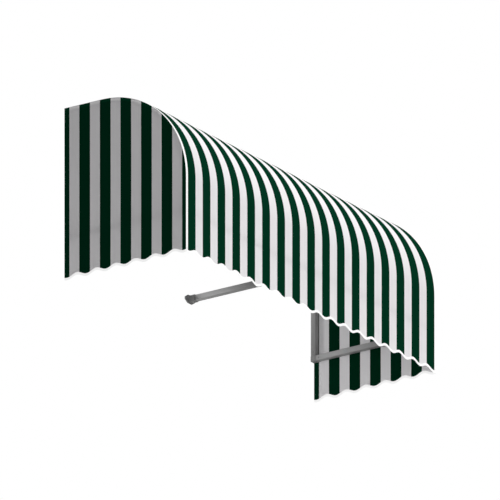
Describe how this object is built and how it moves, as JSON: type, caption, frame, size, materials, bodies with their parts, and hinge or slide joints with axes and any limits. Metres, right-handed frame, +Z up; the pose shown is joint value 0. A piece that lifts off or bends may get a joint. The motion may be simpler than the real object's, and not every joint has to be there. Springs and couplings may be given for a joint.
{
  "type": "fixed awning",
  "caption": "Fixed round-nose awning: striped fabric cover with side wings and a scalloped, bound hem, stretched over a square-tube wall frame.",
  "frame": {"origin": "centre of the head tee's back face, on the wall plane at the middle of the awning's width", "axes": "+X along the wall, to the right as seen from outside; +Y into the wall, so the awning reaches out along -Y; +Z up"},
  "size_m": [2.67, 0.9131, 1.1332],
  "materials": {
    "grey_painted_tube": "grey satin paint on aluminium tube",
    "grey_painted_casting": "grey paint on a fine-grained casting",
    "zinc_plated_steel": "dull zinc plate",
    "stainless_screw": "plain stainless steel",
    "striped_acrylic_cloth": "woven acrylic in dark green and white stripes",
    "white_binding_tape": "white woven binding tape",
    "aluminium_bar": "mill finish",
    "black_webbing": "black woven webbing"
  },
  "bodies": {
    "root": {"bow_left": "grey_painted_tube", "bow_middle": "grey_painted_tube", "bow_right": "grey_painted_tube", "wall_upright_left": "grey_painted_tube", "wall_upright_right": "grey_painted_tube", "lower_arm_left": "grey_painted_tube", "lower_arm_middle": "grey_painted_tube", "lower_arm_right": "grey_painted_tube", "head_bar_left": "grey_painted_tube", "head_bar_right": "grey_painted_tube", "front_bar_left": "grey_painted_tube", "front_bar_right": "grey_painted_tube", "head_corner_left": "grey_painted_casting", "head_corner_right": "grey_painted_casting", "rear_corner_left": "grey_painted_casting", "rear_corner_right": "grey_painted_casting", "front_corner_left": "grey_painted_casting", "front_corner_right": "grey_painted_casting", "head_tee": "grey_painted_casting", "front_cross": "grey_painted_casting", "wall_foot": "grey_painted_casting", "head_bracket_left": "zinc_plated_steel", "head_bracket_middle": "zinc_plated_steel", "head_bracket_right": "zinc_plated_steel", "upright_clip_left": "zinc_plated_steel", "upright_clip_right": "zinc_plated_steel", "clamp_screw_1": "stainless_screw", "clamp_screw_2": "stainless_screw", "clamp_screw_3": "stainless_screw", "clamp_screw_4": "stainless_screw", "clamp_screw_5": "stainless_screw", "clamp_screw_6": "stainless_screw", "bracket_screw_left": "stainless_screw", "bracket_screw_middle": "stainless_screw", "bracket_screw_right": "stainless_screw", "clip_screw_left": "stainless_screw", "clip_screw_right": "stainless_screw", "foot_screw": "stainless_screw", "canopy": "striped_acrylic_cloth", "wing_left": "striped_acrylic_cloth", "wing_right": "striped_acrylic_cloth", "valance_binding_front": "white_binding_tape", "valance_binding_left": "white_binding_tape", "valance_binding_right": "white_binding_tape", "edge_binding_left": "white_binding_tape", "edge_binding_right": "white_binding_tape", "head_clamp_bar": "aluminium_bar", "front_strap_1": "black_webbing", "front_strap_2": "black_webbing", "front_strap_3": "black_webbing", "front_strap_4": "black_webbing", "side_strap_left": "black_webbing", "side_strap_right": "black_webbing"}
  },
  "joints": []
}
